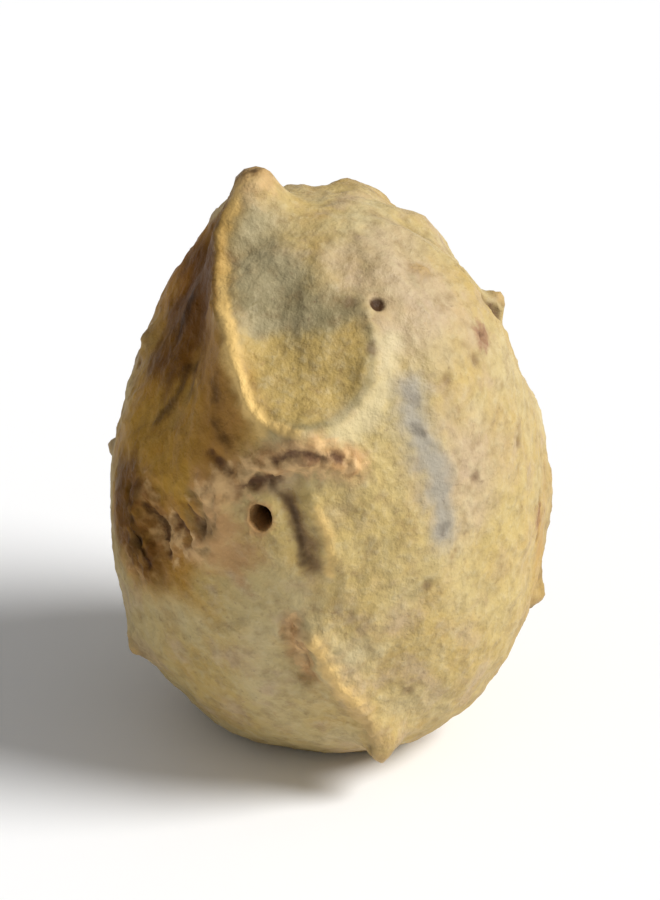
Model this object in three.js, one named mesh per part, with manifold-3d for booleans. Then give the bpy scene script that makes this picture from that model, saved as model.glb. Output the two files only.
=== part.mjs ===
// An oak gall: the woody, one-piece swelling that an oak twig grows round the grub of a gall wasp.
//
// The gall stands on a small flat spot, stalk end up. Its body is an egg a little fuller than an
// ellipsoid, and everything on it is raised or sunk from that egg by a formula:
//   lumps    wide shallow waves, because no gall is quite round
//   hollows  broad places where the drying skin sank in
//   ribs     low folds that run down from the stalk end
//   crests   narrow folds and grooves drawn through a few points
//   horns    the blunt tubercles, the stub of the stalk among them
//   warts    small tubercles, spread over the back by a rule
// Two things are cut: the flat spot, and the small hole by which the wasp left.
//
// Units are millimetres and +Z is up. The front, where the hole is, faces -Y. The origin is the
// middle of the footprint's box, at the level of the flat spot.

import * as THREE from "three";
import { mergeVertices } from "three/addons/utils/BufferGeometryUtils.js";
import Module from "manifold-3d";

// Driving dimensions
const WIDTH = 18; // across the egg, without its horns
const EGG_HEIGHT = 24.4; // of the whole egg, before the flat spot is cut
const FULLNESS = 2.25; // 2 is an ellipsoid, and more is nearer to a box
const TAPER = 0.05; // how much narrower the stalk end is than the middle, and the other end wider
const REST_DEPTH = 0.75; // cut off the egg's lower end

const HOLE_PLACE = [-17, 17]; // azimuth and latitude
const HOLE_HEIGHT = 1.15; // at the skin
const HOLE_WIDTH = 0.9;
const HOLE_END_SHARE = 0.8; // how wide its inner end is, as a share of its opening
const HOLE_DEPTH = 2.6;
const HOLE_SIDES = 14;
const HOLE_CUTTER_PLUNGE = 1.2; // how far its cutter stands out of the skin

const LUMP_HEIGHT = 0.15;
const LUMP_WAVES = [
  // Radians per millimetre along x, y and z, and the radians that the wave starts at.
  { rate: [0.31, -0.12, 0.17], start: 0.4 },
  { rate: [-0.16, 0.33, 0.21], start: 2.1 },
  { rate: [0.19, 0.24, -0.3], start: 4.4 },
];

const RIB_HEIGHT = 0.15;
const RIB_COUNT = 9;
const RIB_LATITUDES = [12, 46]; // where a rib starts and where it is at full height
const RIB_TOP_LATITUDES = [68, 86]; // where it fades again, below the very top
const RIB_WANDER = 0.5; // radians

const EDGE_SOFTNESS = 0.3; // radius that rounds the top of a crest or the tip of a horn
const CREST_STEPS = 24;

const WART_COUNT = 18;
const WART_AZIMUTHS = [110, 264]; // the front and the sides are smoother, with horns alone
const WART_LATITUDES = [-44, 60];
const WART_HEIGHTS = [0.3, 0.6];
const WART_REACH = 1.25;
const WART_CLEARANCE = 2.3; // between the middles of a wart and a horn

const SPHERE_DETAIL = 21; // 20 * (SPHERE_DETAIL + 1)^2 triangles
const GATHER_SHARE = 0.4; // how strongly vertices gather at small forms
const GATHER_SPREAD = 9; // degrees

// Places are [azimuth, latitude] in degrees. Azimuth 0 is the front, 90 the right and 180 the
// back, and latitude 90 is the top. A reach is the radius, in millimetres, of what a form moves.

const HORNS = [
  { place: [-108, 77], height: 1.25, reach: 2.6 }, // stub of the stalk
  { place: [96, 48], height: 0.7, reach: 1.4 }, // right shoulder
  { place: [18, -50], height: 1.0, reach: 2.0 }, // lower front
  { place: [60, 67], height: 0.3, reach: 1.0 },
  { place: [150, 47], height: 0.85, reach: 1.9 },
  { place: [-150, 30], height: 1.0, reach: 2.0 },
  { place: [172, 8], height: 0.6, reach: 1.6 },
  { place: [122, 4], height: 0.95, reach: 1.9 },
  { place: [-112, -4], height: 0.8, reach: 1.8 },
  { place: [-146, -34], height: 1.0, reach: 2.1 },
  { place: [100, -38], height: 0.75, reach: 1.8 },
  { place: [-72, -40], height: 0.6, reach: 1.6 },
  { place: [160, -46], height: 0.6, reach: 1.7 },
];

const HOLLOWS = [
  { place: [-74, 44], depth: 1.15, reach: 7.2 }, // left of the main crest
  { place: [-12, 60], depth: 0.55, reach: 4.8 }, // between the main crest and the front's right edge
  { place: [0, 47], depth: 0.3, reach: 2.6 }, // its lower end
  { place: [-48, 3], depth: 0.45, reach: 3.0 }, // cracked place, lower left
  { place: [118, 36], depth: 0.7, reach: 6.5 },
  { place: [-158, 2], depth: 0.55, reach: 5.5 },
  { place: [140, -24], depth: 0.5, reach: 5.5 },
];

const CRESTS = [
  // The main crest runs down the front's left side from the stalk and turns in under the hollow.
  {
    path: [[-108, 77], [-80, 71], [-58, 65], [-42, 59], [-32, 52], [-24, 44], [-16, 39], [-7, 37]],
    height: 0.9,
    reach: 2.2,
  },
  { path: [[-7, 37], [3, 41], [11, 48], [17, 56], [19, 63]], height: 0.5, reach: 1.6 },
  // Rough band above the hole, and the rim of the cracked place to its left.
  { path: [[-24, 26], [-15, 30], [-8, 32], [0, 33], [7, 31]], height: 0.35, reach: 1.2 },
  { path: [[-29, 20], [-29, 12], [-34, 4]], height: 0.35, reach: 1.2 },
  { path: [[-58, 10], [-60, 0], [-52, -8]], height: 0.4, reach: 1.3 },
  // Groove to the right of the hole, and the low fold beside it.
  { path: [[-10, 23], [-7, 16], [-4, 6]], height: -0.45, reach: 1.1 },
  { path: [[-3, 22], [0, 15], [3, 6]], height: 0.2, reach: 1.2 },
  // Groove and fold that run into the lower front horn.
  { path: [[-9, -13], [-7, -22], [-5, -30]], height: -0.35, reach: 1.3 },
  { path: [[-3, -16], [2, -26], [9, -37], [18, -50]], height: 0.6, reach: 1.7 },
  // Folds of the back and the sides.
  { path: [[-120, 70], [-138, 52], [-150, 32]], height: 0.55, reach: 2.0 },
  { path: [[170, 70], [156, 56], [150, 46], [135, 22], [123, 6]], height: 0.45, reach: 1.9 },
  { path: [[-112, -4], [-128, -18], [-145, -32]], height: 0.35, reach: 1.7 },
  { path: [[96, 46], [104, 18], [100, -8], [100, -36]], height: 0.35, reach: 1.8 },
];

// A unit vector towards a place.
function direction([azimuth, latitude]) {
  const a = THREE.MathUtils.degToRad(azimuth);
  const l = THREE.MathUtils.degToRad(latitude);
  return new THREE.Vector3(Math.cos(l) * Math.sin(a), -Math.cos(l) * Math.cos(a), Math.sin(l));
}

// The plain egg's surface in a direction, from the egg's middle.
function eggPoint(toward) {
  const across = Math.hypot(toward.x, toward.y) / (WIDTH / 2);
  const along = Math.abs(toward.z) / (EGG_HEIGHT / 2);
  const radius = (across ** FULLNESS + along ** FULLNESS) ** (-1 / FULLNESS);
  const point = toward.clone().multiplyScalar(radius);
  const narrowing = 1 - (TAPER * point.z) / (EGG_HEIGHT / 2);
  return point.multiply(new THREE.Vector3(narrowing, narrowing, 1));
}

const eggPlace = (place) => eggPoint(direction(place));

// The way straight out of the egg at a point of it.
function outward(point) {
  return new THREE.Vector3(
    point.x / (WIDTH / 2) ** 2,
    point.y / (WIDTH / 2) ** 2,
    point.z / (EGG_HEIGHT / 2) ** 2,
  ).normalize();
}

// Falloffs: 1 in the middle of a form and 0 at its reach. Hollows are rounded, and the rest pointed.
const nearness = (distance, reach) => Math.max(0, 1 - distance / reach);
const rounded = (near) => near * near * (3 - 2 * near);

// A falloff that would come to a sharp point in the middle, and is rounded over there.
function pointed(distance, reach) {
  const softened = Math.hypot(distance, EDGE_SOFTNESS) - EDGE_SOFTNESS;
  return nearness(softened, reach) ** 2;
}

function makeTubercle({ place, height, reach }) {
  const middle = eggPlace(place);
  return { middle, height, reach, out: outward(middle) };
}

const horns = HORNS.map(makeTubercle);

const hollows = HOLLOWS.map(({ place, depth, reach }) => ({ middle: eggPlace(place), depth, reach }));

const crests = CRESTS.map(({ path, height, reach }) => {
  const points = new THREE.CatmullRomCurve3(path.map(eggPlace)).getPoints(CREST_STEPS);
  const pieces = points.slice(1).map((point, i) => new THREE.Line3(points[i], point));
  return { points, pieces, height, reach };
});

// Each wart is a golden share of the way further round than the last and a step higher, so they
// spread evenly. Those that would crowd a horn are left out.
function spreadWarts() {
  const goldenShare = (3 - Math.sqrt(5)) / 2;
  const share = (turns) => turns - Math.floor(turns);
  const warts = [];
  for (let i = 0; i < WART_COUNT; i++) {
    const azimuth = THREE.MathUtils.lerp(...WART_AZIMUTHS, share(i * goldenShare));
    const latitude = THREE.MathUtils.lerp(...WART_LATITUDES, i / (WART_COUNT - 1));
    const height = THREE.MathUtils.lerp(...WART_HEIGHTS, share(i * Math.SQRT2));
    const wart = makeTubercle({ place: [azimuth, latitude], height, reach: WART_REACH });
    if (horns.every((horn) => horn.middle.distanceTo(wart.middle) > WART_CLEARANCE)) {
      warts.push(wart);
    }
  }
  return warts;
}

const tubercles = [...horns, ...spreadWarts()];

function lumpHeight(p) {
  const waves = LUMP_WAVES.map(({ rate, start }) => Math.sin(p.dot(new THREE.Vector3(...rate)) + start));
  return LUMP_HEIGHT * waves.reduce((sum, wave) => sum + wave);
}

function ribHeight(p) {
  const azimuth = Math.atan2(p.x, -p.y);
  const latitude = THREE.MathUtils.radToDeg(Math.asin(p.z / p.length()));
  const rise = THREE.MathUtils.smoothstep(latitude, ...RIB_LATITUDES);
  const fading = 1 - THREE.MathUtils.smoothstep(latitude, ...RIB_TOP_LATITUDES);
  const wander = RIB_WANDER * Math.sin(2 * azimuth + p.z / 4);
  return RIB_HEIGHT * rise * fading * Math.cos(RIB_COUNT * azimuth + wander);
}

const closest = new THREE.Vector3();

function distanceToCrest(p, crest) {
  const toPiece = (piece) => piece.closestPointToPoint(p, true, closest).distanceTo(p);
  return Math.min(...crest.pieces.map(toPiece));
}

// How far a point of the plain egg moves, as a vector.
function relief(p) {
  let rise = lumpHeight(p) + ribHeight(p);
  for (const { middle, depth, reach } of hollows) {
    rise -= depth * rounded(nearness(p.distanceTo(middle), reach));
  }
  for (const crest of crests) {
    rise += crest.height * pointed(distanceToCrest(p, crest), crest.reach);
  }
  const moved = outward(p).multiplyScalar(rise);
  for (const { middle, height, reach, out } of tubercles) {
    moved.addScaledVector(out, height * pointed(p.distanceTo(middle), reach));
  }
  return moved;
}

function skinPoint(toward) {
  const onEgg = eggPoint(toward);
  return onEgg.add(relief(onEgg));
}

// Draws a direction towards the nearest busy one, so that small forms get small triangles.
function gather(toward, busy) {
  const spread = THREE.MathUtils.degToRad(GATHER_SPREAD);
  const nearest = busy.reduce((a, b) => (toward.dot(a) > toward.dot(b) ? a : b));
  const share = GATHER_SHARE * Math.exp(-((toward.angleTo(nearest) / spread) ** 2));
  return toward.clone().lerp(nearest, share).normalize();
}

function skinGeometry() {
  const middles = tubercles.map(({ middle }) => middle);
  const alongCrests = crests.flatMap(({ points }) => points);
  const busy = [...middles, ...alongCrests].map((point) => point.clone().normalize());
  busy.push(direction(HOLE_PLACE));
  const geometry = new THREE.IcosahedronGeometry(1, SPHERE_DETAIL);
  const position = geometry.getAttribute("position");
  for (let i = 0; i < position.count; i++) {
    const toward = new THREE.Vector3().fromBufferAttribute(position, i).normalize();
    position.setXYZ(i, ...skinPoint(gather(toward, busy)).toArray());
  }
  return geometry;
}

// The hole is oval: its cutter is a cone, narrowed sideways and turned to point out of the skin.
function holeGeometry() {
  const toward = direction(HOLE_PLACE);
  const out = outward(eggPoint(toward));
  const sideways = new THREE.Vector3(0, 0, 1).cross(out).normalize();
  const upright = sideways.clone().cross(out);
  const length = HOLE_DEPTH + HOLE_CUTTER_PLUNGE;
  const middle = skinPoint(toward).addScaledVector(out, HOLE_CUTTER_PLUNGE - length / 2);
  const turn = new THREE.Matrix4().makeBasis(sideways, out, upright).setPosition(middle);
  const radius = HOLE_HEIGHT / 2;
  return new THREE.CylinderGeometry(radius, radius * HOLE_END_SHARE, length, HOLE_SIDES)
    .scale(HOLE_WIDTH / HOLE_HEIGHT, 1, 1)
    .applyMatrix4(turn);
}

// Everything below the flat spot.
function floorGeometry() {
  const side = 3 * WIDTH;
  const top = REST_DEPTH - EGG_HEIGHT / 2;
  return new THREE.BoxGeometry(side, side, side).translate(0, 0, top - side / 2);
}

const wasm = await Module();
wasm.setup();

function toSolid(geometry) {
  geometry.deleteAttribute("normal");
  geometry.deleteAttribute("uv");
  const merged = mergeVertices(geometry);
  return new wasm.Manifold(
    new wasm.Mesh({
      numProp: 3,
      vertProperties: merged.getAttribute("position").array,
      triVerts: new Uint32Array(merged.index.array),
    }),
  );
}

function toGeometry(solid) {
  const { vertProperties, triVerts } = solid.getMesh();
  return new THREE.BufferGeometry()
    .setAttribute("position", new THREE.BufferAttribute(vertProperties, 3))
    .setIndex(new THREE.BufferAttribute(triVerts, 1));
}

// The gall is one grown body, so it is one mesh.
function makeGall() {
  const solid = toSolid(skinGeometry())
    .subtract(toSolid(holeGeometry()))
    .subtract(toSolid(floorGeometry()));
  const geometry = toGeometry(solid);
  geometry.computeBoundingBox();
  const { min, max } = geometry.boundingBox;
  geometry.translate(-(min.x + max.x) / 2, -(min.y + max.y) / 2, -min.z);
  geometry.computeVertexNormals();
  const skin = new THREE.MeshStandardMaterial({ color: 0xa3946a, roughness: 0.85, metalness: 0 });
  const gall = new THREE.Mesh(geometry, skin);
  gall.name = "gall";
  return gall;
}

const oakGall = new THREE.Group();
oakGall.add(makeGall());

export default oakGall;
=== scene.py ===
# %% [markdown]
# # An oak gall on a pale table
#
# An oak gall is the woody swelling that an oak twig grows round the grub of a gall wasp. This one
# is dry and old: an egg the size of a marble, with the stub of its stalk at the top, blunt
# tubercles, a few folds and scabs, and the small oval hole by which the wasp left.
#
# The lesson makes it as one skin, from the large to the small: an egg, then hollows, folds and
# tubercles, then wrinkles and pits, and last the colours. The frame holds the same gall as a plain
# solid, so the forms here take their places and sizes from the same values as the solid's. Only
# the hole is a little less deep here.

# %% Tools and the frame
import math

import bpy
import numpy as np
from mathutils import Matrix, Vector


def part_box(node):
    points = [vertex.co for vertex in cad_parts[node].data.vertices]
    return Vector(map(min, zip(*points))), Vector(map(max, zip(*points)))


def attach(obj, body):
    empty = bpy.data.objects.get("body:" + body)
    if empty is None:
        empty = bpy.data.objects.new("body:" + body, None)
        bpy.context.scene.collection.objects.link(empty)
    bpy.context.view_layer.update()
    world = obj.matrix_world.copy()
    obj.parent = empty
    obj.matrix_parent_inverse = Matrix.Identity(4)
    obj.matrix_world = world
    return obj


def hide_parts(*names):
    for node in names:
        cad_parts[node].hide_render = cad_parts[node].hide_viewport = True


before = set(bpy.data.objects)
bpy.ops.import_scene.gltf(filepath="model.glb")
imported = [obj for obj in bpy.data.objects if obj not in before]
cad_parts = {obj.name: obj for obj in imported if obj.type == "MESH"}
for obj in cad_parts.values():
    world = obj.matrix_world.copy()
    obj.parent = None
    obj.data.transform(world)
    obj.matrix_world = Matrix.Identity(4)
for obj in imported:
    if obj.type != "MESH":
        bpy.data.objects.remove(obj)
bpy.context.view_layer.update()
low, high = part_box("gall")
print("the frame's gall measures", [round(side * 1000, 2) for side in high - low], "mm")

# %% [markdown]
# ## Places on a gall
#
# A gall has no edges to measure from, so a place on it is given as on a globe: the azimuth round
# it, 0 in front and 90 at the right, and the latitude up it, 90 at the top. Lengths are typed in
# millimetres and turned to Blender's metres by one factor.

# %% Units and places
MM = 0.001

WIDTH = 18 * MM  # across the egg, without its tubercles
EGG_HEIGHT = 24.4 * MM  # of the whole egg, before its underside is flattened
FULLNESS = 2.25  # 2 is an ellipsoid, and more is nearer to a box
TAPER = 0.05  # how much narrower the stalk end is than the middle
REST_DEPTH = 0.75 * MM  # taken off the egg's lower end


def direction(place):
    """A unit vector towards a place."""
    azimuth, latitude = np.radians(place)
    across = np.cos(latitude)
    return np.array([across * np.sin(azimuth), -across * np.cos(azimuth), np.sin(latitude)])


def egg_point(toward):
    """The plain egg's surface in a direction from the egg's middle, or in each row's direction."""
    across = np.hypot(toward[..., 0], toward[..., 1]) / (WIDTH / 2)
    along = np.abs(toward[..., 2]) / (EGG_HEIGHT / 2)
    radius = (across**FULLNESS + along**FULLNESS) ** (-1 / FULLNESS)
    point = toward * radius[..., None]
    narrowing = 1 - TAPER * point[..., 2] / (EGG_HEIGHT / 2)
    return point * np.stack([narrowing, narrowing, np.ones_like(narrowing)], axis=-1)


def outward(point):
    """The way straight out of the egg at a point of it, or at each row's point."""
    slope = point / np.array([(WIDTH / 2) ** 2, (WIDTH / 2) ** 2, (EGG_HEIGHT / 2) ** 2])
    return slope / np.linalg.norm(slope, axis=-1, keepdims=True)


print("the egg's front is", round(np.linalg.norm(egg_point(direction((0, 0)))) / MM, 2), "mm out")

# %% [markdown]
# ## The egg
#
# A ball of rings and segments pinches its faces together at the poles, and this gall shows its
# top. A cube cut into a fine grid and blown up has even faces all over and no pole. Transforms
# alone would give a plain ellipsoid, too pointed for a gall, so each vertex of the cut cube is
# set on the fuller egg, together with the wide waves and the low ribs that no gall is without.

# %% Waves and ribs
LUMP_HEIGHT = 0.15 * MM
LUMP_WAVES = [
    # Radians per millimetre along x, y and z, and the radians that the wave starts at.
    ((0.31, -0.12, 0.17), 0.4),
    ((-0.16, 0.33, 0.21), 2.1),
    ((0.19, 0.24, -0.3), 4.4),
]
RIB_HEIGHT = 0.15 * MM
RIB_COUNT = 9
RIB_LATITUDES = (12, 46)  # where a rib starts and where it is at full height
RIB_TOP_LATITUDES = (68, 86)  # where it fades again, below the very top
RIB_WANDER = 0.5  # radians
RIB_WANDER_STEP = 4 * MM  # up the gall for each radian of the wander's wave


def smooth_step(values, start, end):
    """0 before start, 1 after end, and a soft rise between."""
    share = np.clip((values - start) / (end - start), 0, 1)
    return share * share * (3 - 2 * share)


def wave_height(points):
    """How far the wide waves and the ribs raise each point of the egg."""
    lumps = sum(np.sin(points / MM @ np.array(rate) + start) for rate, start in LUMP_WAVES)
    azimuths = np.arctan2(points[:, 0], -points[:, 1])
    latitudes = np.degrees(np.arcsin(points[:, 2] / np.linalg.norm(points, axis=1)))
    rise = smooth_step(latitudes, *RIB_LATITUDES) * (1 - smooth_step(latitudes, *RIB_TOP_LATITUDES))
    wander = RIB_WANDER * np.sin(2 * azimuths + points[:, 2] / RIB_WANDER_STEP)
    return LUMP_HEIGHT * lumps + RIB_HEIGHT * rise * np.cos(RIB_COUNT * azimuths + wander)


# %% Reading a mesh's vertices
def deselect_all():
    """Leaves nothing selected, in object mode."""
    if bpy.context.object and bpy.context.object.mode != "OBJECT":
        bpy.ops.object.mode_set(mode="OBJECT")
    bpy.ops.object.select_all(action="DESELECT")


def vertex_rows(piece, what="co"):
    """The places of the piece's vertices, or their normals, as rows of x, y and z."""
    rows = np.empty(3 * len(piece.data.vertices), dtype=np.float32)
    source = piece.data.vertex_normals if what == "normal" else piece.data.vertices
    source.foreach_get("vector" if what == "normal" else "co", rows)
    return rows.reshape(-1, 3).astype(float)


def unit(rows):
    """Each row at a length of 1."""
    return rows / np.linalg.norm(rows, axis=-1, keepdims=True)


# %% A cut cube set on the egg
EGG_GRID = 62  # faces along each edge of the cube

deselect_all()
bpy.ops.mesh.primitive_cube_add(size=WIDTH)
gall = bpy.context.object
gall.name = "gall_skin"
bpy.ops.object.mode_set(mode="EDIT")
bpy.ops.mesh.select_all(action="SELECT")
bpy.ops.mesh.subdivide(number_cuts=EGG_GRID - 1)
bpy.ops.object.mode_set(mode="OBJECT")

# The tangent spaces the grid evenly, as seen from the cube's middle.
toward = unit(np.tan(vertex_rows(gall) / (WIDTH / 2) * math.pi / 4))
plain = egg_point(toward)
grown = plain + outward(plain) * wave_height(plain)[:, None]
gall.data.vertices.foreach_set("co", grown.astype(np.float32).ravel())
gall.data.update()
print("the egg has", len(gall.data.polygons), "faces")

# %% [markdown]
# ## Hollows, folds and tubercles
#
# On the real gall these grew. By hand one would select a point or a stroke of the skin and pull
# it with proportional editing, so that the skin around follows, and code can do just that: the
# smooth falloff makes a dent, and the sharp one makes a fold's crest or a tubercle. Pulling by
# number rather than sculpting keeps each form at the place and height that its list gives.

# %% The lists of forms
# Each form has its place or its path, its height or depth in millimetres, and its reach: the
# radius that moves with it.
HORNS = [
    ((-108, 77), 1.25, 2.6),  # stub of the stalk
    ((96, 48), 0.7, 1.4),  # right shoulder
    ((18, -50), 1.0, 2.0),  # lower front
    ((60, 67), 0.3, 1.0),
    ((150, 47), 0.85, 1.9),
    ((-150, 30), 1.0, 2.0),
    ((172, 8), 0.6, 1.6),
    ((122, 4), 0.95, 1.9),
    ((-112, -4), 0.8, 1.8),
    ((-146, -34), 1.0, 2.1),
    ((100, -38), 0.75, 1.8),
    ((-72, -40), 0.6, 1.6),
    ((160, -46), 0.6, 1.7),
]
STALK = HORNS[0][0]
HOLLOWS = [
    ((-74, 44), 1.15, 7.2),  # left of the main crest
    ((-12, 60), 0.55, 4.8),  # between the main crest and the front's right edge
    ((0, 47), 0.3, 2.6),  # its lower end
    ((-48, 3), 0.45, 3.0),  # cracked place, lower left
    ((118, 36), 0.7, 6.5),
    ((-158, 2), 0.55, 5.5),
    ((140, -24), 0.5, 5.5),
]
MAIN_CREST = [
    (-108, 77), (-80, 71), (-58, 65), (-42, 59), (-32, 52), (-24, 44), (-16, 39), (-7, 37),
]
RIGHT_EDGE = [(-7, 37), (3, 41), (11, 48), (17, 56), (19, 63)]
SCAB_BAND = [(-24, 26), (-15, 30), (-8, 32), (0, 33), (7, 31)]
GROOVE = [(-10, 23), (-7, 16), (-4, 6)]
LOWER_GROOVE = [(-9, -13), (-7, -22), (-5, -30)]
LOWER_FOLD = [(-3, -16), (2, -26), (9, -37), (18, -50)]
CRESTS = [
    (MAIN_CREST, 0.9, 2.2),
    (RIGHT_EDGE, 0.5, 1.6),
    (SCAB_BAND, 0.35, 1.2),
    ([(-29, 20), (-29, 12), (-34, 4)], 0.35, 1.2),
    ([(-58, 10), (-60, 0), (-52, -8)], 0.4, 1.3),
    (GROOVE, -0.45, 1.1),
    ([(-3, 22), (0, 15), (3, 6)], 0.2, 1.2),
    (LOWER_GROOVE, -0.35, 1.3),
    (LOWER_FOLD, 0.6, 1.7),
    ([(-120, 70), (-138, 52), (-150, 32)], 0.55, 2.0),
    ([(170, 70), (156, 56), (150, 46), (135, 22), (123, 6)], 0.45, 1.9),
    ([(-112, -4), (-128, -18), (-145, -32)], 0.35, 1.7),
    ([(96, 46), (104, 18), (100, -8), (100, -36)], 0.35, 1.8),
]
WART_COUNT = 18
WART_AZIMUTHS = (110, 264)
WART_LATITUDES = (-44, 60)
WART_HEIGHTS = (0.3, 0.6)
WART_REACH = 1.25
WART_CLEARANCE = 2.3  # between the middles of a wart and a horn
GOLDEN_SHARE = (3 - math.sqrt(5)) / 2


def between(limits, share):
    """The value at a share of the way from one limit to the other."""
    return limits[0] + (limits[1] - limits[0]) * share


def spread_warts():
    """Warts, each a golden share of the way further round than the last and a step higher."""
    tips = [egg_point(direction(place)) for place, _, _ in HORNS]
    warts = []
    for i in range(WART_COUNT):
        azimuth = between(WART_AZIMUTHS, i * GOLDEN_SHARE % 1)
        latitude = between(WART_LATITUDES, i / (WART_COUNT - 1))
        height = between(WART_HEIGHTS, i * math.sqrt(2) % 1)
        middle = egg_point(direction((azimuth, latitude)))
        if all(np.linalg.norm(tip - middle) > WART_CLEARANCE * MM for tip in tips):
            warts.append(((azimuth, latitude), height, WART_REACH))
    return warts


WARTS = spread_warts()
print(len(HORNS), "horns,", len(WARTS), "warts,", len(HOLLOWS), "hollows,", len(CRESTS), "crests")


# %% Strokes and pulls
PATH_SPACING = 0.08 * MM


def smooth_path(places):
    """Points close together on the egg, along a smooth curve through the places."""
    corners = [egg_point(direction(place)) for place in places]
    knots = [2 * corners[0] - corners[1], *corners, 2 * corners[-1] - corners[-2]]
    points = [corners[-1]]
    for a, b, c, d in zip(knots, knots[1:], knots[2:], knots[3:]):
        steps = math.ceil(np.linalg.norm(c - b) / PATH_SPACING)
        for t in np.arange(steps) / steps:
            bend = (2 * a - 5 * b + 4 * c - d) * t + (3 * b - a - 3 * c + d) * t * t
            points.append(b + (c - a + bend) * t / 2)
    return np.array(points)


def distance_to(points, rows, limit):
    """How far each row is from the nearest point, or the limit where that is further."""
    distances = np.full(len(rows), limit)
    corner_low, corner_high = points.min(axis=0) - limit, points.max(axis=0) + limit
    near = np.flatnonzero(np.all((rows > corner_low) & (rows < corner_high), axis=1))
    for point in points:
        distances[near] = np.minimum(distances[near], np.linalg.norm(rows[near] - point, axis=1))
    return distances


def on_egg(piece):
    """Where each vertex would be on the plain egg, so that marks keep their size on any form."""
    return egg_point(unit(vertex_rows(piece)))


def select_where(piece, wanted):
    """Selects the wanted vertices and leaves the piece in edit mode."""
    deselect_all()
    bpy.context.view_layer.objects.active = piece
    bpy.context.tool_settings.mesh_select_mode = (True, False, False)
    bpy.ops.object.mode_set(mode="EDIT")
    bpy.ops.mesh.select_all(action="DESELECT")
    bpy.ops.object.mode_set(mode="OBJECT")
    piece.data.vertices.foreach_set("select", wanted)
    bpy.ops.object.mode_set(mode="EDIT")


def swell(piece, wanted, amount, reach, falloff):
    """Moves the wanted vertices along their normals, and the skin within reach follows."""
    select_where(piece, wanted)
    bpy.ops.transform.shrink_fatten(
        value=amount,
        use_proportional_edit=True,
        proportional_edit_falloff=falloff,
        proportional_size=reach,
    )
    bpy.ops.object.mode_set(mode="OBJECT")


def pull(piece, wanted, move, reach, falloff):
    """Moves the wanted vertices one way, and the skin within reach follows."""
    select_where(piece, wanted)
    bpy.ops.transform.translate(
        value=move,
        use_proportional_edit=True,
        proportional_edit_falloff=falloff,
        proportional_size=reach,
    )
    bpy.ops.object.mode_set(mode="OBJECT")


def nearest(piece, place):
    """True for the one vertex nearest to a place."""
    distances = np.linalg.norm(unit(vertex_rows(piece)) - direction(place), axis=1)
    return distances == distances.min()


# %% Hollows, horns and warts, on the coarse grid
for place, depth, reach in HOLLOWS:
    swell(gall, nearest(gall, place), -depth * MM, reach * MM, "SMOOTH")
for place, height, reach in HORNS + WARTS:
    move = outward(egg_point(direction(place))) * height * MM
    pull(gall, nearest(gall, place), move, reach * MM, "SHARP")
print("hollows sunk, horns and warts pulled out")

# %% A finer grid for the crests and all that is smaller
STROKE = 0.14 * MM  # half the width of a selected stroke, enough to catch a line of vertices

finer = gall.modifiers.new("finer", "SUBSURF")
finer.levels = finer.render_levels = 1
deselect_all()
bpy.context.view_layer.objects.active = gall
bpy.ops.object.modifier_apply(modifier=finer.name)
for path, height, reach in CRESTS:
    near = distance_to(smooth_path(path), on_egg(gall), reach * MM) < STROKE
    swell(gall, near, height * MM, reach * MM, "SHARP")
print("crests raised; the skin now has", len(gall.data.polygons), "faces")

# %% [markdown]
# ## Where the skin changes
#
# Scabs, stains and worn tips are both rough and coloured, so their places are needed twice. Each
# is painted on the vertices once, as a value from 0 to 1, and both the relief and the colours
# read it. A painted value moves with the skin, which a pattern fixed in space would not. By hand
# one would do it with a brush in weight paint. Here three brushes in code do it: a stroke along a
# path, a dab around a place, and a fill within an outline.

# %% Finer skin where the hole goes in
HOLE_PLACE = (-17, 17)
HOLE_HEIGHT, HOLE_WIDTH = 1.15 * MM, 0.9 * MM
HOLE_SURROUND = 0.95 * MM  # radius that gets more vertices, so that the hole's edge is smooth
HOLE_CUTS = 3  # across each face there

hole_middle = egg_point(direction(HOLE_PLACE))
hole_way = outward(hole_middle)
hole_side = unit(np.cross((0, 0, 1), hole_way))
hole_up = np.cross(hole_way, hole_side)
select_where(gall, distance_to(hole_middle[None], on_egg(gall), MM) < HOLE_SURROUND)
bpy.ops.mesh.subdivide(number_cuts=HOLE_CUTS)
bpy.ops.object.mode_set(mode="OBJECT")
print("with the hole's surroundings the skin has", len(gall.data.vertices), "vertices")

# %% Brushes for the marks
OUTLINE_STEP = 8  # every eighth point of an outline is enough to tell inside from outside
SLIVER = 1e-12  # keeps a level edge of an outline from dividing by zero

skin = on_egg(gall)


def along(reach, *paths):
    """1 on the paths and 0 at their reach in mm, for each vertex."""
    points = np.vstack([smooth_path(path) for path in paths])
    return 1 - distance_to(points, skin, reach * MM) / (reach * MM)


def around(reach, *places):
    """1 at the nearest of the places and 0 at its reach in mm, for each vertex."""
    points = egg_point(np.array([direction(place) for place in places]))
    return 1 - distance_to(points, skin, reach * MM) / (reach * MM)


def within(softness, *places):
    """1 inside a closed outline and 0 outside it, with an edge that is soft over that many mm."""
    outline = smooth_path([*places, places[0]])
    facing = unit(outline.mean(axis=0))
    side = unit(np.cross((0, 0, 1), facing))
    up = np.cross(facing, side)
    across, height = skin @ side, skin @ up
    corners = np.column_stack([outline @ side, outline @ up])[::OUTLINE_STEP]
    inside = np.zeros(len(skin), dtype=bool)
    for (x, y), (next_x, next_y) in zip(corners, np.roll(corners, -1, axis=0)):
        crossed = (height < y) != (height < next_y)
        share = (height - y) / (next_y - y + SLIVER)
        inside ^= crossed & (across < x + share * (next_x - x))
    inside &= skin @ facing > 0
    depth = distance_to(outline, skin, softness / 2 * MM) / (softness * MM)
    return np.where(inside, 0.5 + depth, 0.5 - depth)


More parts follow.
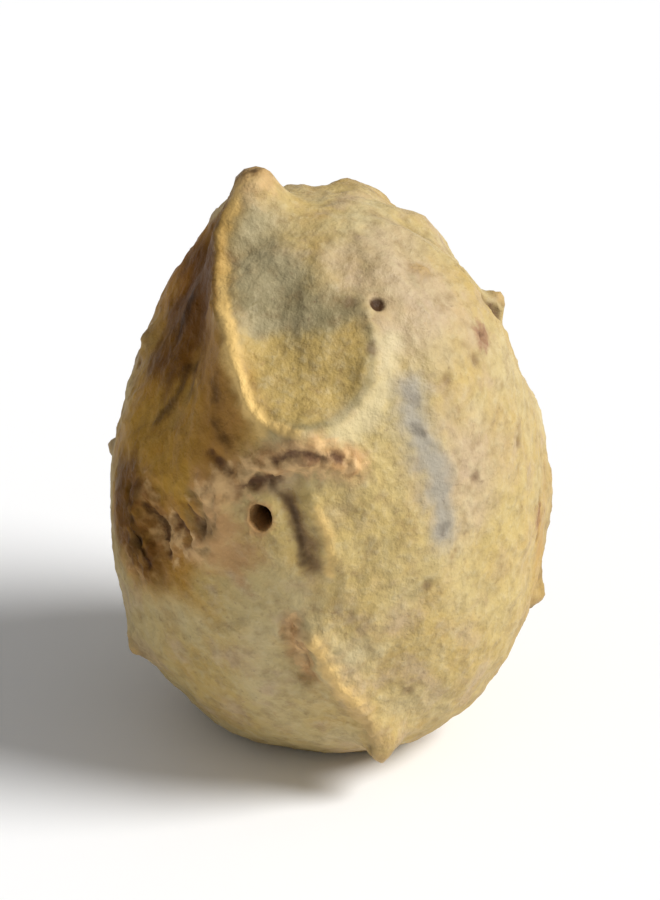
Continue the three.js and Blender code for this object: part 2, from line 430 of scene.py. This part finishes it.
# %% The facet and the shaded side
# The facet is the flattened hollow right of the main crest, grey-green above and olive below. Left
# of the crest the gall lies away from the light, and painted shade darkens and browns its skin.
FACET = [*MAIN_CREST, (4, 42), (12, 49), (16, 56), (14, 63), (-2, 71), (-40, 79)]
LOW_FACET = [
    (-28, 49), (-23, 42), (-15, 38), (-6, 38), (2, 40), (9, 44), (14, 49), (17, 56), (14, 62),
    (0, 61), (-16, 60), (-30, 56),
]
LOW_FACET_MIDDLE = [(-22, 44), (-8, 45), (6, 50), (10, 55)]
SHADED_SIDE = [
    *MAIN_CREST[:-1], (-24, 30), (-31, 22), (-34, 8), (-36, -8), (-30, -28), (-48, -44),
    (-92, -38), (-124, 0), (-128, 45),
]
SHADED_MIDDLE = [(-85, 66), (-60, 42), (-54, 18)]

shade = np.minimum(within(3.4, *SHADED_SIDE), 1.6 * along(8, SHADED_MIDDLE))
# The deepest painted shade lies round these places.
deepest = np.maximum(around(7, (-84, 62), (-80, 52)), around(5, (-64, 4), (-60, -4)))
marks = {
    "facet": within(3.0, *FACET),
    "low_facet": np.minimum(within(1.3, *LOW_FACET), 1.5 * along(5.5, LOW_FACET_MIDDLE)),
    "facet_dark": around(1.6, (1, 63), (10, 65), (-16, 67), (-34, 64)),
    # A painted shadow just inside the facet's right rim, and a painted highlight just outside it.
    "rim_shadow": along(0.5, [(18, 59), (15, 50), (9, 44), (2, 40), (-8, 38)]),
    "rim_highlight": along(1.1, [(25, 56), (19, 47), (12, 41), (4, 37)]),
    "shade": shade,
    "deep_shade": np.minimum(shade, deepest),
    "furrow": np.maximum(
        along(0.9, [(-62, 46), (-60, 38), (-64, 30)], [(-80, 58), (-78, 50)]),
        0.8 * along(0.9, [(-57, 48), (-53, 42)], [(-37, 46), (-34, 41)], [(-34, 37), (-28, 34)]),
    ),
}
print("the shaded side takes up", f"{100 * (shade > 0.5).mean():.0f}% of the vertices")

# %% The rubbed folds
# What stands out is rubbed pale, the top of the lower fold has a painted highlight, and below the
# main crest the skin is rusty.
marks |= {
    "crest": along(0.66, MAIN_CREST),
    "crest_end": along(1.3, [(-33, 52), (-25, 44), (-18, 38)]),
    "crest_foot": along(2.4, [(-70, 61), (-54, 54), (-40, 48), (-32, 40), (-32, 30)]),
    "lower_crest": along(1.0, LOWER_FOLD),
    "lower_fold_highlight": along(0.8, [(-3, -17), (3, -28), (7, -34)]),
}
print("marks so far:", *marks)

# %% Scabs
# Where the growing gall was hurt, it healed as a crusty scab.
SCAB_DABS = [(1.6, [(-25, 25), (-33, 20)]), (2.4, [(-48, 3), (-58, 8), (-60, -6)])]
SCAB_STROKES = [
    (1.3, [SCAB_BAND]),
    (0.9, [[(-30, 21), (-32, 10), (-38, 2)]]),
    (0.8, [LOWER_GROOVE]),
    (1.3, [[(-142, 20), (-134, 12), (-130, 15)], [(144, -16), (152, -24), (160, -22)]]),
    (1.1, [[(168, 58), (160, 48)], [(-146, -28), (-130, -18)], [(114, 34), (121, 29), (120, 24)]]),
]

scabs = [around(reach, *places) for reach, places in SCAB_DABS]
scabs += [along(reach, *paths) for reach, paths in SCAB_STROKES]
marks["scab"] = np.maximum.reduce(scabs)
print("scabs take up", f"{100 * (marks['scab'] > 0.5).mean():.1f}% of the vertices")

# %% Cracks, creases and the groove
# A crack is a short split in a scab. A crease is a long shallow line, where the drying skin
# folded, and most are at the back. The groove beside the hole has a painted shadow along its
# left edge, and a pale rim.
CRACKS = [
    [(-22, 24), (-18, 26), (-13, 27)],
    [(-13, 31), (-7, 33), (-1, 32)],
    [(-33, 30), (-27, 27)],
    [(2, 33), (5, 32)],
    [(-55, 8), (-49, 3), (-46, -3)],
    [(-60, -1), (-52, -7)],
    [(-45, 9), (-39, 6)],
    [(-40, 14), (-35, 11)],
    [(88, 54), (89, 49), (91, 44)],
]
CREASES = [
    [(-138, 76), (-160, 62), (-158, 46), (-168, 34)],
    [(168, 78), (150, 62), (158, 50)],
    [(110, 74), (92, 66), (86, 54), (92, 44)],
    [(-126, 44), (-118, 30), (-122, 14)],
    [(134, 10), (142, -6), (136, -20), (146, -36)],
    [(-158, -8), (-168, -22), (-162, -38)],
    [(84, -2), (80, -14)],
]

marks |= {
    "crack": along(0.38, *CRACKS),
    "crease": along(0.35, *CREASES),
    "cream": along(1.3, [(-28, 24), (-30, 17), (-28, 9), (-35, 2)]),
    "tan": around(2.2, (-28, 11), (-25, 5)),
    "groove": np.maximum(along(0.6, GROOVE), around(0.9, (-4, 10), (-3, 5))),
    "groove_edge_shadow": along(0.4, [(-14, 25), (-9, 20), (-7, 13), (-6, 5)]),
    "groove_rim": along(0.6, [(-2, 20), (1, 12), (1, 3)]),
}
print(len(CRACKS), "cracks and", len(CREASES), "creases")

# %% Stains, tints and specks
STAIN = [(28, 45), (27, 40), (29, 34), (32, 24), (33, 15), (33, 9)]
TIPS = [place for place, _, _ in HORNS + WARTS]
SCARS = [(66, 49), (-128, 44), (176, -22), (80, -8)]
FRECKLES = [
    (57, 46), (41, 45), (17, 55), (28, -6), (25, -37), (46, 20), (70, 20), (130, 55),
    (-100, 30), (13, 66), (-18, 25),
]
PIT = (25, 64)

marks |= {
    "stain": along(1.7, STAIN),
    "stain_end": around(0.8, (28, 43), (28, 37), (33, 10)),
    "yellow": around(6, (10, 13), (50, 2), (58, -18), (18, 30)),
    "rosy": around(4.5, (48, 60), (44, 70), (46, 22)),
    "weathered": around(8, (150, 25), (-172, -8), (125, -28), (-112, -30)),
    "rubbed": around(6.5, (-125, 50), (172, 50), (92, -30), (-160, 48)),
    "tip": around(1.1, *TIPS),
    "stalk": around(1.5, STALK),
    "scar": around(1.0, *SCARS),
    "freckle": around(0.6, *FRECKLES),
    "pit": around(0.6, PIT),
}
print(len(TIPS), "tips,", len(SCARS), "scars and", len(FRECKLES), "freckles")

# %% The hole's mark
FRONT_DEPTH = 3 * MM  # what lies deeper than this is the egg's far side
OUTSIDE = 9  # any value well over 1


def on_hole(rows):
    """How far rows of the front are from the hole's axis, where 1 is at its oval edge."""
    away = rows - hole_middle
    side, up = away @ hole_side / HOLE_WIDTH, away @ hole_up / HOLE_HEIGHT
    # Jaws gnawed it, so its edge is not quite an oval.
    around_it = np.arctan2(up, side)
    gnawed = 1 + 0.05 * np.sin(2 * around_it + 0.6) + 0.05 * np.sin(5 * around_it)
    return np.where(away @ hole_way > -FRONT_DEPTH, 2 * np.hypot(side, up) * gnawed, OUTSIDE)


# This mark is 1 on the axis and a half at the edge, and far from the hole it is less than 0.
marks["hole"] = 1 - on_hole(skin) / 2
for name, values in marks.items():
    attribute = gall.data.attributes.new(name, "FLOAT", "POINT")
    attribute.data.foreach_set("value", values.astype(np.float32))
print({name: f"{100 * (values > 0.5).mean():.1f}%" for name, values in marks.items()})

# %% [markdown]
# ## Wrinkles, scabs and pits
#
# A dry gall is never smooth. The skin shrank over a woody core, so it has shallow dents and fine
# wrinkles all over, and where it was hurt it healed in crumbs and cracks. These are too many to
# place one by one, so textures push the skin in and out, each with a grain of a real size, and
# only within its own mark where it has one.


# %% Roughening by textures
def roughen(piece, name, kind, depth, grain, mark=None, **settings):
    """Pushes the skin in and out by a texture with a grain of a real size."""
    texture = bpy.data.textures.new(name, kind)
    texture.noise_scale = grain * MM
    for setting, value in settings.items():
        setattr(texture, setting, value)
    modifier = piece.modifiers.new(name, "DISPLACE")
    modifier.texture = texture
    modifier.texture_coords = "LOCAL"
    modifier.strength = depth * MM
    modifier.mid_level = 0.5
    if mark:
        group = piece.vertex_groups.new(name=name)
        for i in np.flatnonzero(marks[mark] > 0):
            group.add([int(i)], float(smooth_step(marks[mark][i], 0, 0.6)), "REPLACE")
        modifier.vertex_group = group.name
    deselect_all()
    bpy.context.view_layer.objects.active = piece
    bpy.ops.object.modifier_apply(modifier=modifier.name)
    piece.vertex_groups.clear()


smooth_rows, smooth_normals = vertex_rows(gall), vertex_rows(gall, "normal")
print("before the wrinkles the skin has", len(smooth_rows), "vertices")

# %% Dents, wrinkles and crumbs
# Each has its depth and its grain in millimetres. The dents are where the woody flesh shrank, the
# wrinkles are the skin's own, and the finest grain is about as small as the vertices can carry.
roughen(gall, "dents", "CLOUDS", 0.36, 2.6, noise_depth=1)
roughen(gall, "wrinkles", "MUSGRAVE", 0.06, 0.9, musgrave_type="RIDGED_MULTIFRACTAL", octaves=2)
roughen(gall, "grain", "CLOUDS", 0.06, 0.38, noise_depth=2)

# A scab breaks into plates as it dries, and the plates crumble. Tips and the lower fold flake.
plates = {"weight_1": -1.0, "weight_2": 1.0, "noise_intensity": 1.5}
roughen(gall, "plates", "VORONOI", 0.2, 0.75, mark="scab", **plates)
roughen(gall, "crumbs", "CLOUDS", 0.45, 0.6, mark="scab", noise_depth=3)
roughen(gall, "worn", "CLOUDS", 0.2, 0.4, mark="tip", noise_depth=2)
roughen(gall, "flakes", "CLOUDS", 0.35, 0.5, mark="lower_crest", noise_depth=2)
relief = ((vertex_rows(gall) - smooth_rows) * smooth_normals).sum(axis=1) / MM
print("the relief goes from", round(relief.min(), 2), "to", round(relief.max(), 2), "mm")

# %% [markdown]
# ## Pits, scars and the way out
#
# Small things need a vertex of their own rather than a texture: the sharp tips of the tubercles,
# the pit, the scars where the skin was pricked, and the hole that the wasp gnawed from inside,
# which is oval and has a rounded edge. A hole could be cut with a cylinder, but then its edge
# would be a seam of long thin faces. Pulled in, the skin goes down the hole unbroken.


# %% Tips, pits, cracks and scars
def nearest_to(piece, *places):
    """True for the vertices nearest to each of the places."""
    return np.any([nearest(piece, place) for place in places], axis=0)


# Each line has how far its vertices move, and the reach of the skin that follows. The stalk's stub
# is the first tip, and it ends in a small dip instead.
swell(gall, nearest_to(gall, *TIPS[1:]), 0.12 * MM, 0.7 * MM, "SHARP")
swell(gall, nearest_to(gall, STALK), -0.2 * MM, 0.4 * MM, "SMOOTH")
swell(gall, nearest_to(gall, PIT), -0.3 * MM, 0.5 * MM, "SMOOTH")
swell(gall, nearest_to(gall, *FRECKLES), -0.1 * MM, 0.4 * MM, "SMOOTH")
swell(gall, marks["crease"] > 0.7, -0.12 * MM, 0.5 * MM, "SHARP")
swell(gall, marks["crack"] > 0.6, -0.2 * MM, 0.45 * MM, "SHARP")
swell(gall, nearest_to(gall, *SCARS), 0.15 * MM, 1.0 * MM, "SMOOTH")
swell(gall, nearest_to(gall, *SCARS), -0.28 * MM, 0.5 * MM, "SMOOTH")
print(len(TIPS) - 1, "tips sharpened,", len(SCARS), "scars and", len(FRECKLES), "freckles sunk")

# %% Exit hole
HOLE_DEPTH = 2.4 * MM  # and 2.6 mm in the frame's solid
HOLE_LIP = 0.15 * MM  # width of the rounded edge
LIP_REACH = 1.6 * HOLE_LIP  # how far out the skin follows

inner = on_hole(vertex_rows(gall)) < 1 - 2 * HOLE_LIP / HOLE_WIDTH
pull(gall, inner, -hole_way * HOLE_DEPTH, LIP_REACH, "SMOOTH")
print("the hole took in", inner.sum(), "vertices")

# %% Flat spot and the frame's place
# Scaled to nothing upright, the lowest vertices make the flat spot, and no face is cut.
rest_level = REST_DEPTH - EGG_HEIGHT / 2
select_where(gall, vertex_rows(gall)[:, 2] < rest_level)
bpy.ops.transform.resize(value=(1, 1, 0), center_override=(0, 0, rest_level))
bpy.ops.object.mode_set(mode="OBJECT")

rows = vertex_rows(gall)
corner_low, corner_high = Vector(rows.min(axis=0)), Vector(rows.max(axis=0))
shift = (low + high) / 2 - (corner_low + corner_high) / 2
shift.z = low.z - corner_low.z
select_where(gall, np.full(len(rows), True))
bpy.ops.transform.translate(value=shift)
deselect_all()
gall.select_set(True)
bpy.ops.object.shade_smooth()

attribute = gall.data.attributes.new("relief", "FLOAT", "POINT")
attribute.data.foreach_set("value", relief.astype(np.float32))
print("size", [round(side / MM, 2) for side in corner_high - corner_low], "mm,",
      sum(len(face.vertices) - 2 for face in gall.data.polygons), "triangles")

# %% [markdown]
# ## The dry skin
#
# The real surface is dead plant skin over woody tissue, like that of a dry nut: matt, straw to
# green-grey, with brown where it was rubbed or hurt. Its colours lie in layers, broad areas, then
# a mottle with specks, then the marks, so the material lays them over each other in that order.
# Each layer is a colour, and a share from 0 to 1 that comes from a noise or from a painted mark.


# %% A helper for nodes
def linear(hex_colour):
    """Turns an sRGB hex colour to the linear values that shaders use."""
    values = [int(hex_colour[i : i + 2], 16) / 255 for i in (1, 3, 5)]
    return [v / 12.92 if v <= 0.04045 else ((v + 0.055) / 1.055) ** 2.4 for v in values] + [1]


def add(kind, inputs, **settings):
    """Adds a node to the skin. An input is a value to set, or a node or socket to link from."""
    node = skin_nodes.nodes.new("ShaderNode" + kind)
    for name, value in settings.items():
        setattr(node, name, value)
    for name, value in inputs.items():
        if isinstance(value, bpy.types.Node):
            value = next(output for output in value.outputs if output.enabled)
        if isinstance(value, bpy.types.NodeSocket):
            skin_nodes.links.new(value, node.inputs[name])
        else:
            node.inputs[name].default_value = value
    return node


# Dry plant skin scatters light softly and evenly: no clear reflection, only a weak broad sheen on
# the side towards the window, left by the thin wax that the living gall had.
dry_skin = bpy.data.materials.new("dry_gall_skin")
dry_skin.use_nodes = True
skin_nodes = dry_skin.node_tree
skin_shader = skin_nodes.nodes["Principled BSDF"]
gall_place = add("TexCoord", {}).outputs["Object"]
print("the material", dry_skin.name, "starts with", len(skin_nodes.nodes), "nodes")

# %% Ways to lay a colour
SHARE, BELOW, ABOVE = 0, 6, 7  # a Mix node's inputs when it mixes colours
MIXED = 2  # and its output
PER_MM = 1000  # a noise's scale counts grains to the metre


def mottle(below, colour, grain, start, end, most, roughness=0.55):
    """Lays a colour over another in blotches of a grain in mm, where a noise passes start."""
    noise = add("TexNoise", {
        "Vector": gall_place, "Scale": PER_MM / grain, "Detail": 4, "Roughness": roughness,
    })
    share = add("MapRange", {
        "Value": noise, "From Min": start, "From Max": end, "To Max": most,
    }, interpolation_type="SMOOTHSTEP")
    return add("Mix", {SHARE: share, BELOW: below, ABOVE: colour}, data_type="RGBA")


def patch(below, colour, mark, start, end, most=1, grain=0.7, ragged=0.5, blend="MIX"):
    """Lays a colour over another within a mark, whose edge a noise of a grain in mm breaks up."""
    noise = add("TexNoise", {"Vector": gall_place, "Scale": PER_MM / grain, "Detail": 4})
    painted = add("Attribute", {}, attribute_name=mark)
    broken = add("Math", {0: noise, 1: ragged, 2: painted}, operation="MULTIPLY_ADD")
    start, end = start + ragged / 2, end + ragged / 2
    share = add("MapRange", {
        "Value": broken, "From Min": start, "From Max": end, "To Max": most,
    }, interpolation_type="SMOOTHSTEP")
    layer = {SHARE: share, BELOW: below, ABOVE: colour}
    return add("Mix", layer, data_type="RGBA", blend_type=blend)


# %% Broad areas
STRAW = linear("#B9A470")
PALE_STRAW = linear("#CBBB90")
OCHRE = linear("#AE8A42")
YELLOW_OLIVE = linear("#B89C5A")
YELLOW = linear("#BEA667")
ROSY = linear("#B59E83")
OLIVE = linear("#7A6E4A")

colour = mottle(STRAW, PALE_STRAW, 2.6, 0.42, 0.68, 0.75)
colour = mottle(colour, YELLOW_OLIVE, 3.4, 0.42, 0.62, 0.8)
colour = mottle(colour, OCHRE, 1.3, 0.48, 0.76, 0.55)
colour = mottle(colour, ROSY, 1.7, 0.48, 0.7, 0.6)
colour = patch(colour, YELLOW, "yellow", 0.1, 0.9, most=0.6, grain=2.2, ragged=1.2)
colour = patch(colour, ROSY, "rosy", 0.1, 0.9, most=0.65, grain=1.8, ragged=1.2)
colour = patch(colour, OLIVE, "weathered", 0.3, 0.8, most=0.6, grain=2.5, ragged=0.8)
print("broad areas:", len(skin_nodes.nodes), "nodes so far")

# %% The facet's colours
GREEN_GREY = linear("#A0936F")

colour = patch(colour, GREEN_GREY, "facet", 0.35, 0.85, grain=1.3, ragged=0.8)
colour = patch(colour, YELLOW_OLIVE, "low_facet", 0.2, 0.9, most=0.95, grain=1.2, ragged=1.2)
colour = patch(colour, OLIVE, "facet_dark", 0.2, 1.1, most=0.8, grain=0.8, ragged=0.9)
print("the facet:", len(skin_nodes.nodes), "nodes so far")

# %% Mottle and specks
# The finest grain is near the width of a pixel in the render, and finer specks wouldn't show.
WARM_OLIVE = linear("#86704A")
DARK_BROWN = linear("#452C12")

colour = mottle(colour, WARM_OLIVE, 0.7, 0.4, 0.82, 0.65, roughness=0.6)
colour = mottle(colour, PALE_STRAW, 0.4, 0.45, 0.8, 0.5, roughness=0.6)
colour = mottle(colour, DARK_BROWN, 0.3, 0.56, 0.84, 0.4, roughness=0.6)
print("mottle:", len(skin_nodes.nodes), "nodes so far")

# %% Rubbed and shaded skin
BROWN_TINT = linear("#ECCB7C")  # a tint multiplies what is below, so the mottle still shows
RUST = linear("#9A7038")

tint = {"blend": "MULTIPLY"}
colour = patch(colour, BROWN_TINT, "rubbed", 0, 1.2, most=0.8, grain=3, ragged=1.4, **tint)
# Painted shade: the same tint darkens and browns the side away from the window.
colour = patch(colour, BROWN_TINT, "shade", 0.2, 0.8, grain=1.8, ragged=0.7, **tint)
colour = patch(colour, RUST, "crest_foot", 0.2, 0.9, most=0.75, grain=0.8, ragged=0.8)
print("rubbed and shaded skin:", len(skin_nodes.nodes), "nodes so far")

# %% [markdown]
# ## The colours of the marks
#
# Scabs are corky tissue that closed a wound, brown with peach-coloured crumbs. The stain at the
# right is a thin grey film, as sooty mould leaves. Crests and tips are rubbed down to a creamier
# layer. Each colour could be painted as a picture on an unwrapped skin, but an egg unwraps badly
# and a picture has one fixed sharpness. Here a mark says where a colour lies, and a noise with a
# grain of a real size breaks its edge up, so it is as sharp from near as from far.

# %% The facet's rim and the stain
STAIN_GREY = linear("#9E9686")
SOOT = linear("#70685A")

# A painted shadow inside the facet's right rim, and a painted highlight outside it.
colour = patch(colour, OLIVE, "rim_shadow", 0.3, 1.0, most=0.75, grain=0.6, ragged=0.8)
colour = patch(colour, PALE_STRAW, "rim_highlight", 0.2, 0.9, most=0.7, grain=0.7, ragged=0.8)
colour = patch(colour, STAIN_GREY, "stain", 0.28, 1.0, most=0.95, grain=0.9, ragged=0.7)
colour = patch(colour, SOOT, "stain_end", 0.3, 1.0, most=0.7, grain=0.5, ragged=1.3)
print("rim and stain:", len(skin_nodes.nodes), "nodes so far")

# %% Scabs and cracks
SCAB_BROWN = linear("#B48856")
SCAB_PEACH = linear("#D8B27C")
SCAB_DARK = linear("#593A22")

colour = patch(colour, SCAB_BROWN, "scab", 0.1, 0.9, most=0.85, grain=0.8, ragged=1.2)
colour = patch(colour, SCAB_PEACH, "scab", 0.5, 1.0, most=0.85, grain=0.6, ragged=2.4)
colour = patch(colour, SCAB_DARK, "scab", 0.8, 1.2, most=0.5, grain=1.1, ragged=2.4)
colour = patch(colour, SCAB_DARK, "crack", 0.1, 1.0, most=0.9, grain=0.4, ragged=1.2)
colour = patch(colour, SCAB_PEACH, "cream", 0.2, 1.0, most=0.75, grain=0.6, ragged=1.0)
colour = patch(colour, SCAB_BROWN, "tan", 0.1, 0.9, most=0.75, grain=0.7, ragged=1.2)
print("scabs:", len(skin_nodes.nodes), "nodes so far")

# %% Groove, furrows and crests
GROOVE_BROWN = linear("#806240")
CREAM = linear("#EAC47A")
TIP_TAN = linear("#C4A46C")

colour = patch(colour, GROOVE_BROWN, "groove", 0.1, 0.9, most=0.8, grain=0.5, ragged=0.7)
# A painted shadow along the groove's left edge.
colour = patch(colour, DARK_BROWN, "groove_edge_shadow", 0.2, 1.0, most=0.7, grain=0.5, ragged=0.8)
colour = patch(colour, CREAM, "groove_rim", 0.3, 1.0, most=0.7, grain=0.5, ragged=0.8)
colour = patch(colour, DARK_BROWN, "furrow", 0.3, 1.0, most=0.7, grain=0.5, ragged=0.9)
colour = patch(colour, CREAM, "crest", 0.4, 0.9, most=0.9, grain=0.9, ragged=0.8)
colour = patch(colour, CREAM, "crest_end", 0.5, 1.0, most=0.9, grain=0.6, ragged=0.6)
colour = patch(colour, TIP_TAN, "lower_crest", 0.3, 1.0, most=0.8, grain=0.6, ragged=1.0)
# A painted highlight along the top of the lower fold.
colour = patch(colour, CREAM, "lower_fold_highlight", 0.3, 1.0, most=0.7, grain=0.5, ragged=1.0)
print("groove and crests:", len(skin_nodes.nodes), "nodes so far")

# %% Worn tips and the stalk
TIP_BROWN = linear("#8A6C40")

colour = patch(colour, TIP_BROWN, "tip", 0.2, 0.9, most=0.55, grain=0.6, ragged=1.4)
colour = patch(colour, TIP_TAN, "tip", 0.5, 1.0, most=0.7, grain=0.3, ragged=1.0)
colour = patch(colour, SCAB_PEACH, "stalk", 0.2, 0.8, most=0.6, grain=0.5, ragged=0.9)
colour = patch(colour, TIP_BROWN, "stalk", 0.6, 0.9, most=0.8, grain=0.4, ragged=0.9)
colour = patch(colour, DARK_BROWN, "stalk", 0.78, 0.95, most=0.8, grain=0.3, ragged=0.3)
print("tips and stalk:", len(skin_nodes.nodes), "nodes so far")

# %% Scars, creases and the pit
SCAR_RED = linear("#8C5F46")

colour = patch(colour, SCAR_RED, "scar", 0.1, 0.7, most=0.7, grain=0.3, ragged=1.0)
colour = patch(colour, SCAB_DARK, "scar", 0.55, 1.0, most=0.75, grain=0.3, ragged=0.8)
colour = patch(colour, DARK_BROWN, "crease", 0.2, 1.1, most=0.38, grain=0.9, ragged=1.8)
colour = patch(colour, SCAB_DARK, "freckle", 0.2, 0.9, most=0.55, grain=0.3)
colour = patch(colour, DARK_BROWN, "pit", 0.3, 0.6, grain=0.3, ragged=0.2)
print("scars, creases and the pit:", len(skin_nodes.nodes), "nodes so far")

# %% Dents, ridges and the hole
# The dents are darkened with painted shade, and the ridges are rubbed pale. The mark here is the
# relief itself, in millimetres from the smooth skin, so a share that rises downwards colours the
# dents. The hole is brown inside, where the wood is bare and no light comes in.
DEEP_TINT = linear("#A28E58")
HOLE_BROWN = linear("#503416")

# Painted shade in the dents: olive in the shallow ones, dark brown in the deeper ones.
colour = patch(colour, OLIVE, "relief", -0.03, -0.2, most=0.4, ragged=0.06)
colour = patch(colour, DARK_BROWN, "relief", -0.14, -0.3, most=0.8, ragged=0.1)
colour = patch(colour, SCAB_PEACH, "relief", 0.12, 0.24, most=0.4, ragged=0.1)
colour = patch(colour, SCAB_BROWN, "hole", 0.2, 0.5, most=0.7, grain=0.3, ragged=0.3)
# More painted shade, deepest at the upper and lower left of the shaded side.
colour = patch(colour, DEEP_TINT, "deep_shade", 0.34, 0.8, grain=2, ragged=0.8, **tint)
colour = patch(colour, HOLE_BROWN, "hole", 0.54, 0.66, ragged=0.04)
skin_nodes.links.new(colour.outputs[MIXED], skin_shader.inputs["Base Color"])
print("all colours:", len(skin_nodes.nodes), "nodes so far")

# %% [markdown]
# ## Gloss and grain
#
# The wax that is left on the skin shines a little, and the side with the painted shade is dull.
# Pores and the finer part of the skin's grain are smaller than the mesh can show, so they are
# bumps in the material, on top of the relief that is in the mesh.

# %% Gloss
# Dry wood and leaf skin have a roughness of about 0.6 and the IOR that the shader starts with.
GLOSS_GRAIN = 1.1  # millimetres from one waxy patch to the next

shaded = add("Attribute", {}, attribute_name="shade")
shine = add("MapRange", {"Value": shaded.outputs["Fac"], "To Min": 0.3, "To Max": 0.08})
skin_nodes.links.new(shine.outputs["Result"], skin_shader.inputs["Specular IOR Level"])
uneven = add("TexNoise", {"Vector": gall_place, "Scale": PER_MM / GLOSS_GRAIN, "Detail": 3})
gloss = add("MapRange", {
    "Value": uneven, "From Min": 0.3, "From Max": 0.7, "To Min": 0.5, "To Max": 0.7,
})
skin_nodes.links.new(gloss.outputs["Result"], skin_shader.inputs["Roughness"])
print("gloss:", len(skin_nodes.nodes), "nodes so far")

# %% Pores and skin grain
# Real pores are a few hundredths of a millimetre apart, too fine to show, so these are coarser.
PORE_SPACING, PORE_DEPTH = 0.13, 0.03  # millimetres
SKIN_GRAIN, SKIN_GRAIN_DEPTH = 0.4, 0.1

pores = add("TexNoise", {"Vector": gall_place, "Scale": PER_MM / PORE_SPACING, "Detail": 3})
pores = add("Bump", {"Strength": 1, "Distance": PORE_DEPTH * MM, "Height": pores})
skin_grain = add("TexNoise", {"Vector": gall_place, "Scale": PER_MM / SKIN_GRAIN, "Detail": 4})
skin_grain = add("Bump", {
    "Strength": 1, "Distance": SKIN_GRAIN_DEPTH * MM, "Height": skin_grain, "Normal": pores,
})
skin_nodes.links.new(skin_grain.outputs["Normal"], skin_shader.inputs["Normal"])
gall.data.materials.append(dry_skin)
print("the skin's material has", len(skin_nodes.nodes), "nodes")

# %% The gall takes the place of the frame's solid
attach(gall, "root")
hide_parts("gall")

# %% [markdown]
# ## Table, light and camera
#
# The gall stands on white paper, lit by a wide soft lamp far off at the right, as by a window,
# with a weak even light from all round to open the shadows. A sun lamp with a wide angle gives
# the window's soft shadow at any distance. The camera looks down on the gall from the front, from
# far enough that the near parts don't swell.

# %% Table
TABLE_WIDTH = 6  # metres, so wide that no edge shows

deselect_all()
bpy.ops.mesh.primitive_plane_add(size=TABLE_WIDTH)
table = bpy.context.object
table.name = "table"

# Uncoated paper is white and matt: it shows a soft shadow and no reflection.
paper = bpy.data.materials.new("white_paper")
paper.use_nodes = True
paper_shader = paper.node_tree.nodes["Principled BSDF"]
paper_shader.inputs["Base Color"].default_value = linear("#F4F4F4")
paper_shader.inputs["Roughness"].default_value = 0.9
table.data.materials.append(paper)
print("the table is", TABLE_WIDTH, "m wide")

# %% Sky
SKY_STRENGTH = 0.31

sky = bpy.data.worlds.new("even_sky")
sky.use_nodes = True
background = sky.node_tree.nodes["Background"]
background.inputs["Color"].default_value = (1, 1, 1, 1)
background.inputs["Strength"].default_value = SKY_STRENGTH
bpy.context.scene.world = sky
print("the sky's strength is", SKY_STRENGTH)

# %% Window light
SUN_PLACE = (78, 42)
SUN_STRENGTH = 3.8
SUN_WIDTH = 28  # degrees of the sky
SUN_DISTANCE = 0.3  # a sun lamp shines the same from any distance


def look_from(thing, place, distance, target):
    """Puts a lamp or a camera at a place as seen from the target, and aims it there."""
    away = Vector(direction(place))
    thing.location = target + away * distance
    thing.rotation_euler = (-away).to_track_quat("-Z", "Y").to_euler()


gall_middle = (low + high) / 2
bpy.ops.object.light_add(type="SUN")
window = bpy.context.object
window.name = "window"
window.data.energy = SUN_STRENGTH
window.data.angle = math.radians(SUN_WIDTH)
look_from(window, SUN_PLACE, SUN_DISTANCE, gall_middle)
print("the window stands", SUN_PLACE[0], "degrees round and", SUN_PLACE[1], "degrees up")

# %% Camera
CAMERA_ELEVATION = 29
CAMERA_DISTANCE = 0.4
VIEW_HEIGHT = 0.0375  # metres that the picture's height shows at the gall
SENSOR = 36

bpy.ops.object.camera_add()
camera = bpy.context.object
camera.name = "camera"
camera.data.sensor_width = SENSOR
camera.data.lens = SENSOR * CAMERA_DISTANCE / VIEW_HEIGHT
look_from(camera, (0, CAMERA_ELEVATION), CAMERA_DISTANCE, gall_middle)
bpy.context.scene.camera = camera
bpy.context.scene.view_settings.view_transform = "Standard"
print("the camera's lens is", round(camera.data.lens), "mm")
